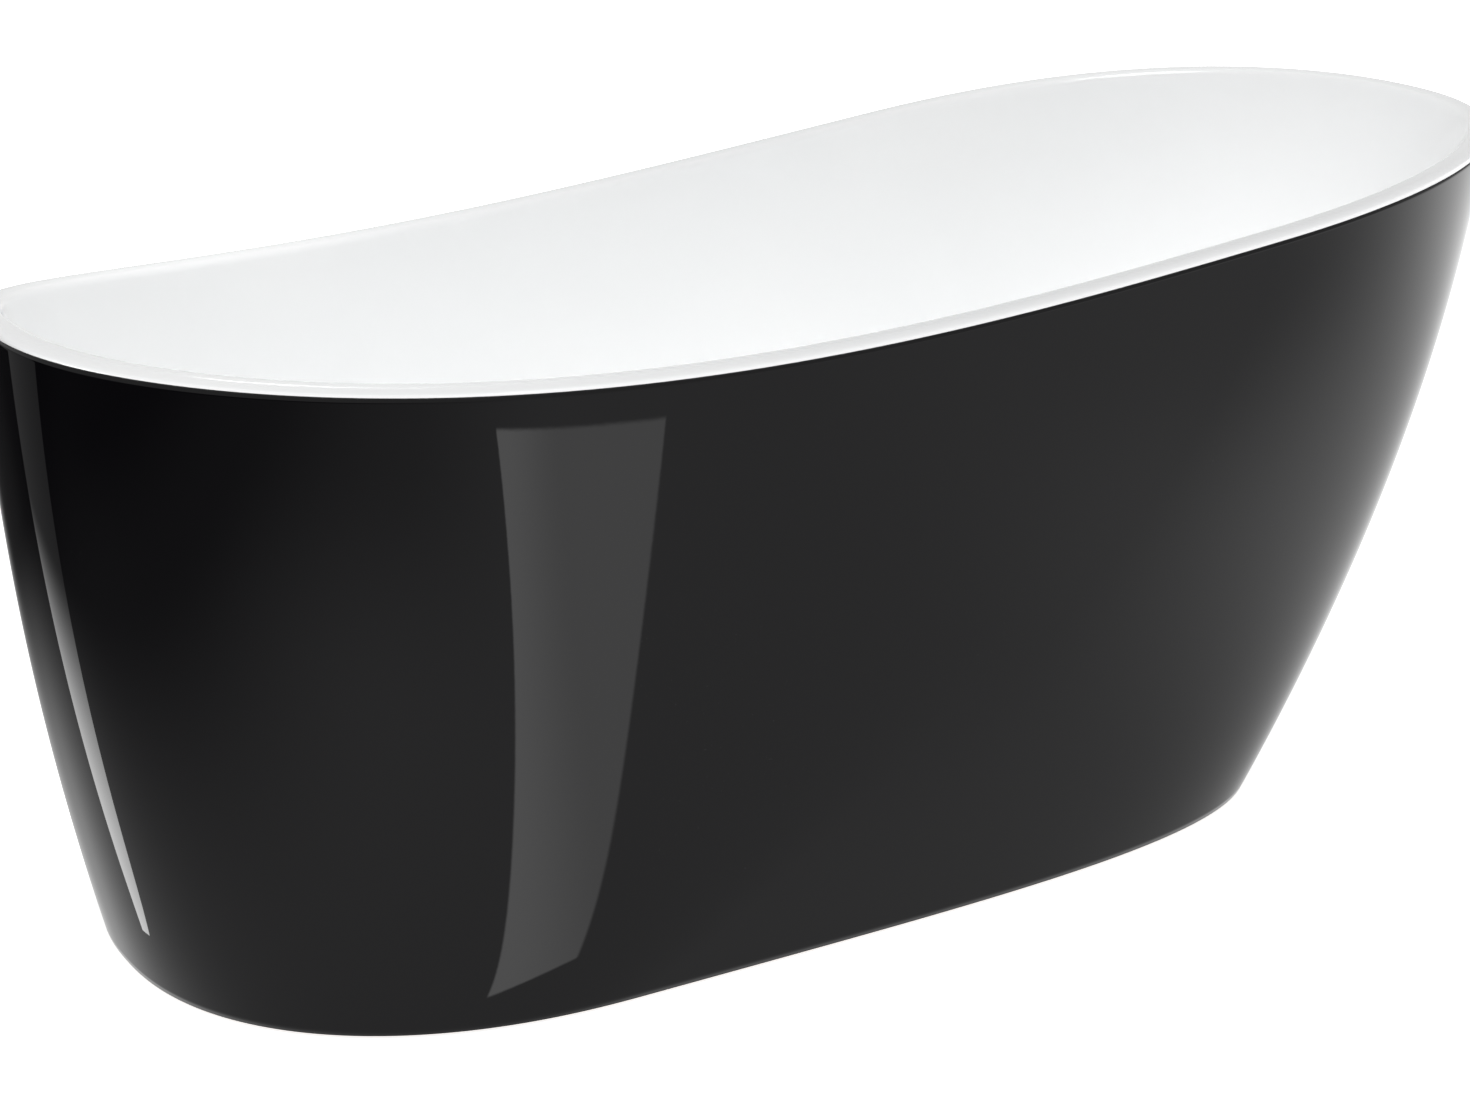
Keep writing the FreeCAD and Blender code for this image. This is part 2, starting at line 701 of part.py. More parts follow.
# the tail's upper end is turned down a little where it stands in the body and its nut
spigot_r = TAIL_R - 0.4
waste_tail = turned([(TAIL_BORE_R, TAIL_END_Z), (TAIL_R, TAIL_END_Z), (TAIL_R, TAIL_NUT_LOW),
                     (spigot_r, TAIL_NUT_LOW), (spigot_r, body_low + 1), (TAIL_BORE_R, body_low + 1)])
save("waste_tail", moved(waste_tail, DRAIN_X))

nut_r = 30.0
nut_floor = TAIL_NUT_LOW + 4
nut_top = TAIL_NUT_LOW + 22
nut_ribs = 12
tail_nut = turned([(TAIL_R + 3.2, nut_floor), (nut_r, nut_floor), (nut_r, nut_top - 2), (nut_r - 2, nut_top),
                   (TAIL_R + 3.2, nut_top)])
tail_nut = tail_nut.fuse(tube(nut_r, TAIL_R + 0.2, TAIL_NUT_LOW, nut_floor))
for k in range(nut_ribs):
    rib = block((nut_r - 1, -1.5, TAIL_NUT_LOW + 2), (nut_r + 1.5, 1.5, nut_top - 3))
    rib.rotate(V(0, 0, 0), V(0, 0, 1), 360 / nut_ribs * k)
    tail_nut = tail_nut.fuse(rib)
save("waste_tail_nut", moved(tail_nut, DRAIN_X))

# ---------------------------------------------------------------- overflow
back = -(backing_depth + GLASSFIBRE)
save("overflow_gasket", on_wall(tube(31, OVERFLOW_HOLE_R + 0.5, back - 3.1, back - 0.1)))

elbow_face = back - 3.2
elbow_end = elbow_face - 32
outlet_axis = elbow_end + HOSE_R + 0.5
elbow = rod(31, elbow_face - 3, elbow_face).fuse(rod(26, elbow_end, elbow_face))
outlet = Part.makeCylinder(HOSE_R + 2, 52, V(0, 0, outlet_axis), V(-1, 0, 0))
elbow = elbow.fuse(outlet.common(block((-60, -20, elbow_end), (0, 20, elbow_face - 1))))
elbow = elbow.cut(rod(22.5, elbow_end + 2, elbow_face + 1))
bore = Part.makeCylinder(HOSE_BORE_R - 1, 54, V(0, 0, outlet_axis), V(-1, 0, 0))
elbow = elbow.cut(bore)
socket = Part.makeCylinder(HOSE_R + 0.1, 14, V(-39, 0, outlet_axis), V(-1, 0, 0))
elbow = elbow.cut(socket)
bridge = block((-23, -5, elbow_face - 6), (23, 5, elbow_face - 1)).fuse(rod(6, elbow_face - 8, elbow_face - 1))
elbow = elbow.fuse(bridge).cut(rod(2.6, elbow_face - 9, elbow_face))
save("overflow_elbow", on_wall(elbow))

cover = turned([(2.7, 3), (27, 2), (30, 0.3), (33, 0.3), (33, 3), (31, 5.5), (24, 7), (12, 7.6), (5.5, 7.6),
                (5.5, 6), (2.7, 6)])
cover = cover.cut(block((-34, -14, -1), (-25, 14, 1.9)))
save("overflow_cover", on_wall(moved(cover, 0, 0, COVER_STAND_OFF)))
screw_seat = COVER_STAND_OFF + 6.1
screw_head = turned([(0, 0), (5, 0), (5, 1.3), (4, 2.3), (0, 2.6)]).cut(block((-5, -0.6, 1.5), (5, 0.6, 3)))
overflow_screw = rod(2.5, elbow_face - 7.5, screw_seat).fuse(moved(screw_head, 0, 0, screw_seat))
save("overflow_screw", on_wall(overflow_screw))


def rounded_path(points):
    """Straight runs joined by tangent arcs that are as large as both runs allow."""
    edges = []
    start = points[0]
    radii = []
    for a, b, c in zip(points, points[1:], points[2:]):
        arriving = (b - a).normalize()
        leaving = (c - b).normalize()
        half_turn = arriving.getAngle(leaving) / 2
        cut_back = 0.45 * min((b - a).Length, (c - b).Length)
        radii.append(cut_back / math.tan(half_turn))
        arc_start = b - arriving * cut_back
        arc_end = b + leaving * cut_back
        toward = (leaving - arriving).normalize()
        middle = b + toward * (radii[-1] / math.cos(half_turn) - radii[-1])
        edges.append(Part.LineSegment(start, arc_start).toShape())
        edges.append(Part.Arc(arc_start, middle, arc_end).toShape())
        start = arc_end
    edges.append(Part.LineSegment(start, points[-1]).toShape())
    return Part.Wire(edges), radii


def swept(path, radius):
    start = path.OrderedVertexes[0].Point
    heading = path.OrderedEdges[0].tangentAt(path.OrderedEdges[0].FirstParameter)
    ring = Part.Wire(Part.makeCircle(radius, start, heading))
    return path.makePipeShell([ring], True, True)


down_wall = OVERFLOW.Rotation.multVec(V(-1, 0, 0))
hose_start = OVERFLOW.multVec(V(-39.5, 0, outlet_axis))
hose_end = V(DRAIN_X + branch_end + 10.5, 0, BRANCH_Z)
route = [
    hose_start,
    hose_start + down_wall * 48,
    V(-793, 0, 330),
    V(-775, 0, 262),
    V(-749, 0, 200),
    V(-711, 0, 148),
    V(-661, 0, 112),
    V(-598, 0, BRANCH_Z),
    hose_end,
]
route_path, hose_radii = rounded_path(route)
print("overflow hose: length %.0f, smallest radius %.0f" % (route_path.Length, min(hose_radii)))
hose = swept(route_path, HOSE_R).cut(swept(route_path, HOSE_BORE_R))
print("hose volume %.0f, section x length %.0f"
      % (hose.Volume, math.pi * (HOSE_R ** 2 - HOSE_BORE_R ** 2) * route_path.Length))
save("overflow_hose", hose)

nut_profile = [(HOSE_R + 0.15, 0), (HOSE_NUT_R - 2, 0), (HOSE_NUT_R, 2), (HOSE_NUT_R, 6), (HOSE_R + 0.15, 6)]
top_nut = turned(nut_profile)
top_nut.Placement = FreeCAD.Placement(OVERFLOW.multVec(V(-58.5, 0, outlet_axis)),
                                      FreeCAD.Rotation(V(0, 0, 1), down_wall * -1))
bottom_nut = turned(nut_profile)
bottom_nut.Placement = FreeCAD.Placement(V(DRAIN_X + branch_end - 6.1, 0, BRANCH_Z),
                                         FreeCAD.Rotation(V(0, 0, 1), V(1, 0, 0)))
save("hose_nut_top", top_nut)
save("hose_nut_bottom", bottom_nut)
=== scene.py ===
from math import cos, pi, radians, sin

import bmesh
import bpy
import numpy as np
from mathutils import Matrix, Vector


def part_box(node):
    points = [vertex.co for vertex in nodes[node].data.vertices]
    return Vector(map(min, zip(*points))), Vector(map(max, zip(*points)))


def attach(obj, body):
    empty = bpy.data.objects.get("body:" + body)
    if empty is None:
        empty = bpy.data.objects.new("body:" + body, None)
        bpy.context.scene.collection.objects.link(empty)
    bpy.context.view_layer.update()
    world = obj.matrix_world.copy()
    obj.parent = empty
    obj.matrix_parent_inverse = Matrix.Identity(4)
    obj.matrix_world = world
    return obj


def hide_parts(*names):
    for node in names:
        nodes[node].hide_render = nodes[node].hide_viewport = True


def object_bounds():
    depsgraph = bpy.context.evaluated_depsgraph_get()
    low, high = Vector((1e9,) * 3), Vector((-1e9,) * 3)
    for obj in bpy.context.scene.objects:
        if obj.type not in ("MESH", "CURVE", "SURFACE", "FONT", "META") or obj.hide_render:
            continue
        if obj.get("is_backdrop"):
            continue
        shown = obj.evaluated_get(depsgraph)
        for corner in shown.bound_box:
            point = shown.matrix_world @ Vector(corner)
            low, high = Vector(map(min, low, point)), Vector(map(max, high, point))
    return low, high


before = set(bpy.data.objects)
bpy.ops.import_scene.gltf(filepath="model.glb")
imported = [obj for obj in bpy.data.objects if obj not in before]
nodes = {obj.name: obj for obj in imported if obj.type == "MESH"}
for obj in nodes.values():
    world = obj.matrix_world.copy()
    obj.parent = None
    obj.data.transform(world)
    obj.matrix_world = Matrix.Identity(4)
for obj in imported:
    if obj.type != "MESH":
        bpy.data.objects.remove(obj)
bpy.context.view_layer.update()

scene = bpy.context.scene

# ------------------------------------------------------------------------------------------------ camera
# A short telephoto view from the low foot end, 19 degrees above the horizon and 31 degrees off the tub's
# side. The long frame takes in the whole length and cuts both ends a little.
VIEW_PLACE = (-1.5718, -2.5210, 1.3138)
VIEW_DOWN = 18.957
VIEW_TURN = -30.857
SENSOR = 36
LENS = 70.99
VIEW_END = 60
lens = bpy.data.cameras.new("view")
lens.sensor_width = SENSOR
lens.lens = LENS
lens.shift_x = -0.0014
lens.shift_y = -0.0003
lens.clip_end = VIEW_END
camera = bpy.data.objects.new("view", lens)
camera.location = VIEW_PLACE
camera.rotation_euler = (radians(90 - VIEW_DOWN), 0, radians(VIEW_TURN))
scene.collection.objects.link(camera)
scene.camera = camera


# ------------------------------------------------------------------------------------------------ studio
# A white sweep that glows softly, a broad lamp over the bowl, and an even white surround. The floor that
# the gloss mirrors has a long window of light in front, a thin one past the foot end and a dim left side.
class Signal:
    """A node's output, on which + - * / ** > add Math nodes."""

    def __init__(self, graph, socket):
        self.graph = graph
        self.socket = socket

    def __add__(self, other):
        return self.graph.maths("ADD", self, other)

    def __sub__(self, other):
        return self.graph.maths("SUBTRACT", self, other)

    def __rsub__(self, other):
        return self.graph.maths("SUBTRACT", other, self)

    def __mul__(self, other):
        return self.graph.maths("MULTIPLY", self, other)

    def __truediv__(self, other):
        return self.graph.maths("DIVIDE", self, other)

    def __rtruediv__(self, other):
        return self.graph.maths("DIVIDE", other, self)

    def __pow__(self, other):
        return self.graph.maths("POWER", self, other)

    def __gt__(self, other):
        return self.graph.maths("GREATER_THAN", self, other)

    def __neg__(self):
        return self.graph.maths("MULTIPLY", self, -1.0)

    __radd__ = __add__
    __rmul__ = __mul__


class Graph:
    """A node tree and the one method that adds a node to it."""

    def __init__(self, tree):
        self.tree = tree

    def add(self, kind, settings=(), inputs=(), output=0):
        node = self.tree.nodes.new(kind)
        for name, value in dict(settings).items():
            setattr(node, name, value)
        for name, value in dict(inputs).items():
            if isinstance(value, Signal):
                self.tree.links.new(value.socket, node.inputs[name])
            else:
                node.inputs[name].default_value = value
        return Signal(self, node.outputs[output]) if node.outputs else node

    def maths(self, operation, first, second=0.0):
        return self.add("ShaderNodeMath", {"operation": operation}, {0: first, 1: second})

    def cos(self, angle):
        return self.maths("COSINE", angle)

    def sin(self, angle):
        return self.maths("SINE", angle)

    def absolute(self, value):
        return self.maths("ABSOLUTE", value)

    def sqrt(self, value):
        return self.maths("SQRT", value)

    def minimum(self, first, second):
        return self.maths("MINIMUM", first, second)

    def maximum(self, first, second):
        return self.maths("MAXIMUM", first, second)

    def where(self, test, chosen, otherwise):
        return test * chosen + (1 - test) * otherwise

    def ramp(self, value, low, high):
        """0 below low, 1 above high, smooth between."""
        return self.add("ShaderNodeMapRange", {"interpolation_type": "SMOOTHSTEP"},
                        {"Value": value, "From Min": low, "From Max": high})

    def place(self):
        return self.add("ShaderNodeTexCoord", output=3)

    def parts(self, vector):
        split = self.add("ShaderNodeSeparateXYZ", {}, {0: vector})
        outputs = split.socket.node.outputs
        return [Signal(self, outputs[k]) for k in range(3)]

    def noise(self, place, scale, detail=3.0, rough=0.5):
        return self.add("ShaderNodeTexNoise", {}, {"Vector": place, "Scale": scale, "Detail": detail,
                                                   "Roughness": rough})

    def mix(self, share, first, second):
        """Colour between two colours; its sockets 0, 6 and 7 are the share and the colours."""
        return self.add("ShaderNodeMix", {"data_type": "RGBA"}, {0: share, 6: first, 7: second}, 2)

    def bump(self, height, strength, distance):
        return self.add("ShaderNodeBump", {}, {"Height": height, "Strength": strength, "Distance": distance})


def new_material(name):
    """A material with its Principled shader, and its graph to build on."""
    material = bpy.data.materials.new(name)
    material.use_nodes = True
    graph = Graph(material.node_tree)
    return material, graph, graph.tree.nodes["Principled BSDF"]


def feed(graph, shader, **inputs):
    for name, value in inputs.items():
        graph.tree.links.new(value.socket, shader.inputs[name.replace("_", " ")])


def flat_square(name, half, height):
    mesh = bpy.data.meshes.new(name)
    corners = [(-half, -half, height), (half, -half, height), (half, half, height), (-half, half, height)]
    mesh.from_pydata(corners, [], [(0, 1, 2, 3)])
    thing = bpy.data.objects.new(name, mesh)
    scene.collection.objects.link(thing)
    thing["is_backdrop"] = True
    return thing


scene.view_settings.view_transform = "Standard"
FLOOR_HALF = 20.0
FLOOR_GLOW = 0.82
MIRROR_HEIGHT = 0.0008
WINDOW_MIDDLE = 1.15
WINDOW_LIGHT = 1.3
WINDOW_EDGE_LIGHT = 1.0
FOOT_TIP = 0.83
STRIP_LIGHT = 4.3
STRIP_END_LIGHT = 0.2
SURROUND_LIGHT = 0.63
SURROUND_SEEN = 1.05
LAMP_PLACE = (0.0, 0.02, 2.0)
LAMP_LONG = 1.45
LAMP_WIDE = 0.4
LAMP_SPREAD = radians(32)
LAMP_POWER = 2.6
floor = flat_square("studio_floor", FLOOR_HALF, 0.0)
floor_paint, g, shader = new_material("studio_floor")
shader.inputs["Base Color"].default_value = (0.8, 0.8, 0.8, 1)
shader.inputs["Roughness"].default_value = 0.9
shader.inputs["Specular IOR Level"].default_value = 0.0
shader.inputs["Emission Color"].default_value = (1, 1, 1, 1)
shader.inputs["Emission Strength"].default_value = FLOOR_GLOW
floor.data.materials.append(floor_paint)

# a sheet that only gloss sees, dimmer or brighter by place so that the skirt's reflections have shape
mirror_floor = flat_square("studio_floor_in_gloss", FLOOR_HALF, MIRROR_HEIGHT)
mirror_floor.visible_camera = False
mirror_floor.visible_diffuse = False
mirror_floor.visible_shadow = False
mirror_floor.visible_transmission = False
mirror_paint = bpy.data.materials.new("studio_floor_in_gloss")
mirror_paint.use_nodes = True
g = Graph(mirror_paint.node_tree)
g.tree.nodes.clear()
x, y, _ = g.parts(g.place())
# broad glows: bright under and past the head, fading past the foot, dimmer to both sides of the foot end
behind = g.ramp(y, 0.2, 1.2) * (1 - g.ramp(x, -1.0, -0.4))
before = g.ramp(-y, 0.9, 1.7) * (1 - g.ramp(x, -0.9, -0.3))
foot_glow = (1 - g.ramp(-x, 0.75, 1.7)) * (1 - 0.95 * behind) * (1 - 0.5 * before)
far_glow = g.ramp(x, -2.6, -1.6) * (1 - g.ramp(y, -0.3, 0.8))
head_glow = g.ramp(x, 0.3, 1.1) * (1 - g.ramp(g.absolute(y), 0.3, 1.7)) + 1.6 * g.ramp(x, 1.6, 3.4)
base_light = (0.05 - 0.03 * behind + 0.12 * far_glow + 0.62 * foot_glow + 0.40 * head_glow
              + 0.08 * g.ramp(x, 0.1, 1.0))
# the window: a long pane in front of the tub, its left edge bowed and its right edge slanting
bulge = (-y - WINDOW_MIDDLE) * (-y - WINDOW_MIDDLE) / 0.42
window_left = g.ramp(x + 0.053 * bulge, -0.506, -0.500)
window_right = 1 - g.ramp(x + 0.293 * (y + 0.49), -0.424, -0.416)
window = window_left * window_right * g.ramp(-y, 0.515, 0.525) * (1 - g.ramp(-y, 1.81, 1.83))
window_light = window * (WINDOW_LIGHT + WINDOW_EDGE_LIGHT * (1 - g.ramp(x, -0.54, -0.34)))
# the strip: a wedge that opens from the foot's tip and fades as it runs out
out = -x - FOOT_TIP
strip = (y > 0.68 * out - 0.02) * (out * (1.15 + 0.5 * out) > y) * (out > 0.0)
strip_light = strip * (STRIP_END_LIGHT + STRIP_LIGHT * (1 - g.ramp(out, 0.1, 0.80)))
glow = base_light + window_light + strip_light
light = g.add("ShaderNodeEmission", {}, {"Color": (1, 1, 1, 1), "Strength": glow})
g.add("ShaderNodeOutputMaterial", {}, {"Surface": light})
mirror_floor.data.materials.append(mirror_paint)

surround = bpy.data.worlds.new("surround")
scene.world = surround
surround.use_nodes = True
g = Graph(surround.node_tree)
g.tree.nodes.clear()
seen = g.add("ShaderNodeLightPath", output=0)
level = g.where(seen, SURROUND_SEEN, SURROUND_LIGHT)
back = g.add("ShaderNodeBackground", {}, {"Color": (1, 1, 1, 1), "Strength": level})
g.add("ShaderNodeOutputWorld", {}, {"Surface": back})

lamp = bpy.data.lights.new("lamp_over_bowl", "AREA")
lamp.shape = "RECTANGLE"
lamp.size = LAMP_LONG
lamp.size_y = LAMP_WIDE
lamp.spread = LAMP_SPREAD
lamp.energy = LAMP_POWER
lamp_holder = bpy.data.objects.new("lamp_over_bowl", lamp)
lamp_holder.location = LAMP_PLACE
lamp_holder.visible_camera = False
scene.collection.objects.link(lamp_holder)

# ------------------------------------------------------------------------------------------------ outline
# The tub is moulded over one egg-shaped form: two superellipse halves in plan at the rim and at the floor,
# a rim that dips amidships and climbs to the head, and walls that swell out between the two.
LENGTH = 1.700
WIDTH = 0.756
RIM_WIDEST = 0.337
RIM_POWERS = (2.52, 2.16)
RIM_TERMS = (0.6432, 0.0782, 0.0563, -0.0451, -0.0064)
BASE_FOOT = 0.769
BASE_HEAD = 0.518
BASE_WIDTH = 0.6615
BASE_WIDEST = -0.375
BASE_POWERS = (2.25, 4.0)
FOOT_SWELL = 1.97
HEAD_SWELL = 1.64
SIDE_SWELL = 1.32
ANGLE_STEP = 0.001


def egg(kit, angle, foot, head, half_width, widest, powers):
    """Plan point at an angle, 0 at the head and pi at the foot; kit is numpy or a Graph."""
    c = kit.cos(angle)
    s = kit.sin(angle)
    headward = c > 0.0
    reach = kit.where(headward, head - widest, foot + widest)
    power = kit.where(headward, powers[1], powers[0])
    scale = (kit.absolute(c) ** power + kit.absolute(s) ** power) ** (-1 / power)
    return widest + reach * c * scale, half_width * s * scale


def rim_plan(kit, angle):
    return egg(kit, angle, LENGTH / 2, LENGTH / 2, WIDTH / 2, RIM_WIDEST, RIM_POWERS)


def rim_height(kit, angle):
    u = rim_plan(kit, angle)[0] / (LENGTH / 2)
    mean, rise, dish, sway, ease = RIM_TERMS
    return mean + u * (rise + u * (dish + u * (sway + u * ease)))


def outer_form(kit, angle, height):
    """Plan point of the outer form at a height."""
    share = height / rim_height(kit, angle)
    rim = rim_plan(kit, angle)
    base = egg(kit, angle, BASE_FOOT, BASE_HEAD, BASE_WIDTH / 2, BASE_WIDEST, BASE_POWERS)
    end_swell = FOOT_SWELL + (HEAD_SWELL - FOOT_SWELL) * (0.5 + 0.5 * kit.cos(angle))
    along = end_swell * share - (end_swell - 1) * share * share
    across = SIDE_SWELL * share - (SIDE_SWELL - 1) * share * share
    return base[0] + (rim[0] - base[0]) * along, base[1] + (rim[1] - base[1]) * across


def inset_point(kit, angle, height, inset):
    """Plan point set in from the outer form, square to its outline at that height."""
    here = outer_form(kit, angle, height)
    ahead = outer_form(kit, angle + ANGLE_STEP, height)
    behind = outer_form(kit, angle - ANGLE_STEP, height)
    run_x = ahead[0] - behind[0]
    run_y = ahead[1] - behind[1]
    run = kit.sqrt(run_x * run_x + run_y * run_y)
    return here[0] - inset * run_y / run, here[1] + inset * run_x / run


# ------------------------------------------------------------------------------------------------ bowl
# The bowl is a sheet of white acrylic, vacuum formed and 5 mm thick: a flat floor, walls that flow into it,
# and a rounded rim whose lip hangs over the skirt. The waste and overflow holes are drilled through it.
SHEET = 0.005
LIP_DROP = 0.0096
LIP_CORNER = 0.006
CREST_END = 0.018
CREST_ARC = 0.060
ROLL_RADIUS = 0.009
ROLL_END = radians(80)
ROLL_HEAD_EASE = radians(20)
FLOOR_HEIGHT = 0.150
FLOOR_FOOT = 0.600
FLOOR_HEAD = 0.330
FLOOR_WIDTH = 0.400
FLOOR_WIDEST = -0.150
FLOOR_POWER = 2.3
SIDE_LEAN = 0.45
HEAD_LEAN = 0.70
FULLNESS = 0.74
ROUND_STEPS = 300
WALL_ROWS = 64
FLOOR_RINGS = 8
DRAIN = Vector((-0.470, 0.0, FLOOR_HEIGHT))
DRAIN_HOLE = 0.026
OVERFLOW_HEIGHT = 0.480
OVERFLOW_HOLE = 0.024
DRILL_LENGTH = 0.06
DRILL_SIDES = 96
CORNER_STEPS = 8
CREST_STEPS = 6
ROLL_STEPS = 9
WALL_CROWDING = 1.25
ACRYLIC_IOR = 1.49


def rim_section(head_share):
    """(drop, inset) arrays from the lip's edge over the crest to the top of the inner wall."""
    even = 0 * head_share
    pairs = [(LIP_DROP + even, even)]
    for turn in np.linspace(0, pi / 2, CORNER_STEPS):
        pairs.append((LIP_CORNER * (1 - sin(turn)) + even, LIP_CORNER * (1 - cos(turn)) + even))
    for run in np.linspace(0, CREST_END - LIP_CORNER, CREST_STEPS)[1:]:
        pairs.append((run ** 2 / (2 * CREST_ARC) + even, LIP_CORNER + run + even))
    start = np.arctan((CREST_END - LIP_CORNER) / CREST_ARC)
    end = ROLL_END - ROLL_HEAD_EASE * head_share
    crest_drop, crest_inset = pairs[-1]
    for share in np.linspace(0, 1, ROLL_STEPS)[1:]:
        turn = start + (end - start) * share
        pairs.append((crest_drop + ROLL_RADIUS * (np.cos(start) - np.cos(turn)),
                      crest_inset + ROLL_RADIUS * (np.sin(turn) - np.sin(start))))
    return pairs


def bowl_rings(angle):
    """Rings of points down the wet face, from the lip's edge to the middle of the floor."""
    head_share = np.maximum(0.0, np.cos(angle)) ** 2
    top_height = rim_height(np, angle)
    rings = []
    for drop, inset in rim_section(head_share):
        px, py = inset_point(np, angle, top_height, inset)
        rings.append(np.stack([px, py, top_height - drop], 1))
    foot_x, foot_y = egg(np, angle, FLOOR_FOOT, FLOOR_HEAD, FLOOR_WIDTH / 2, FLOOR_WIDEST,
                         (FLOOR_POWER, FLOOR_POWER))
    foot = np.stack([foot_x, foot_y, 0 * foot_x + FLOOR_HEIGHT], 1)
    top = rings[-1]
    lean = (SIDE_LEAN + (HEAD_LEAN - SIDE_LEAN) * head_share)[:, None]
    corner = top + (foot - top) * lean
    corner[:, 2] = FLOOR_HEIGHT
    upper = top + (corner - top) * FULLNESS
    lower = foot + (corner - foot) * FULLNESS
    for k in range(1, WALL_ROWS + 1):
        q = (k / WALL_ROWS) ** WALL_CROWDING
        p = 1 - q
        rings.append(top * p ** 3 + upper * (3 * p * p * q) + lower * (3 * p * q * q) + foot * q ** 3)
    middle = np.array([FLOOR_WIDEST, 0, FLOOR_HEIGHT])
    for k in range(1, FLOOR_RINGS):
        rings.append(middle + (foot - middle) * (1 - k / FLOOR_RINGS))
    return rings, middle


def closed_sheet(name, rings, middle):
    """Mesh of rings joined by quads, with its last ring closed round a middle point."""
    count = len(rings[0])
    verts = np.concatenate(rings + [middle[None]])
    faces = []
    for j in range(len(rings) - 1):
        for k in range(count):
            after = (k + 1) % count
            faces.append((j * count + k, j * count + after, (j + 1) * count + after, (j + 1) * count + k))
    last = (len(rings) - 1) * count
    for k in range(count):
        faces.append((last + k, last + (k + 1) % count, len(verts) - 1))
    mesh = bpy.data.meshes.new(name)
    mesh.from_pydata(verts.tolist(), [], faces)
    return mesh


def show(name, mesh, material, body, slot, *stands_for):
    """Put a finished mesh in the scene, on its body and in place of its CAD nodes."""
    thing = bpy.data.objects.new(name, mesh)
    scene.collection.objects.link(thing)
    if material is not None:
        mesh.materials.clear()
        mesh.materials.append(material)
    mesh.shade_smooth()
    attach(thing, body)
    if stands_for:
        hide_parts(*stands_for)
    return thing


def drilled(thing, place, direction, radius):
    """Cut a round hole through a piece and keep the result as its mesh."""
    drill = bpy.data.meshes.new("drill")
    bm = bmesh.new()
    turn = Vector((0, 0, 1)).rotation_difference(direction).to_matrix().to_4x4()
    turn.translation = place
    bmesh.ops.create_cone(bm, cap_ends=True, segments=DRILL_SIDES, radius1=radius, radius2=radius,
                          depth=DRILL_LENGTH, matrix=turn)
    bm.to_mesh(drill)
    bm.free()
    cutter = bpy.data.objects.new("drill", drill)
    scene.collection.objects.link(cutter)
    cut = thing.modifiers.new("hole", "BOOLEAN")
    cut.object = cutter
    cut.solver = "EXACT"
    finished = bpy.data.meshes.new_from_object(thing.evaluated_get(bpy.context.evaluated_depsgraph_get()))
    thing.modifiers.clear()
    bpy.data.objects.remove(cutter)
    return finished


# glossy white acrylic: even colour, a trace of pull marks in the gloss and faint orange peel
white_acrylic, g, shader = new_material("white_acrylic")
place = g.place()
cloud = g.noise(place, 2.2, 2.0)
feed(g, shader,
     Base_Color=g.mix(g.ramp(cloud, 0.35, 0.65), (0.925, 0.932, 0.935, 1), (0.945, 0.948, 0.948, 1)),
     Roughness=0.07 + 0.07 * g.ramp(g.noise(place, 9.0, 4.0), 0.35, 0.75),
     Normal=g.bump(g.noise(place, 160.0, 2.0), 0.06, 0.0004))
shader.inputs["IOR"].default_value = ACRYLIC_IOR

angle = np.linspace(0, 2 * pi, ROUND_STEPS, endpoint=False)
rings, middle = bowl_rings(angle)
wet_face = closed_sheet("bowl", rings, middle)
blank = bpy.data.objects.new("bowl_blank", wet_face)
scene.collection.objects.link(blank)
wall = blank.modifiers.new("sheet", "SOLIDIFY")
wall.thickness = SHEET
wall.offset = -1
foot_wall = np.array([ring[ROUND_STEPS // 2] for ring in rings])
above = np.flatnonzero(foot_wall[:, 2] > OVERFLOW_HEIGHT)[-1]
upper = Vector(foot_wall[above])
lower = Vector(foot_wall[above + 1])
overflow = upper.lerp(lower, (upper.z - OVERFLOW_HEIGHT) / (upper.z - lower.z))
up_wall = (upper - lower).normalized()
into_bowl = Vector((up_wall.z, 0, -up_wall.x))
bowl_mesh = drilled(blank, DRAIN, Vector((0, 0, 1)), DRAIN_HOLE)
blank.data = bowl_mesh
bowl_mesh = drilled(blank, overflow, into_bowl, OVERFLOW_HOLE)
bpy.data.objects.remove(blank)
show("bowl", bowl_mesh, white_acrylic, "root", "white_acrylic", "inner_shell")

# ------------------------------------------------------------------------------------------------ skirt
# The skirt is a second moulding in black acrylic, laid up 5.5 mm thick. Its top turns in as a flange under
# the rim's lip, a hair back from it, and its lower edge stops 3 mm above the floor.
SKIRT_RECESS = 0.0008
SKIRT_WALL = 0.0055
SKIRT_LOW = 0.003
SKIRT_TOP_DROP = 0.010
FLANGE = 0.020
SKIRT_ROWS = 110
FLANGE_ROWS = 6
SKIRT_COLUMNS = 400
MERGE_WITHIN = 1e-5
WELD_WITHIN = 1e-6
SWITCH = 1000
SKIRT_IOR = 1.36

# deep black gloss: soft sheen, faint long waves from the mould and a little dust; its index of refraction is
# below acrylic's own, which holds the reflections down in a studio this bright
black_acrylic, g, shader = new_material("black_acrylic")
place = g.place()
dust = g.ramp(g.noise(place, 420.0, 2.0), 0.70, 0.78) * g.ramp(g.noise(place, 5.0, 3.0), 0.45, 0.7)
feed(g, shader,
     Base_Color=g.mix(dust, (0.0016, 0.0014, 0.0020, 1), (0.012, 0.012, 0.013, 1)),
     Roughness=0.012 + 0.014 * g.ramp(g.noise(place, 7.0, 4.0), 0.35, 0.75) + 0.12 * dust,
     Normal=g.bump(g.noise(place, 90.0, 2.0), 0.008, 0.0003))
shader.inputs["IOR"].default_value = SKIRT_IOR


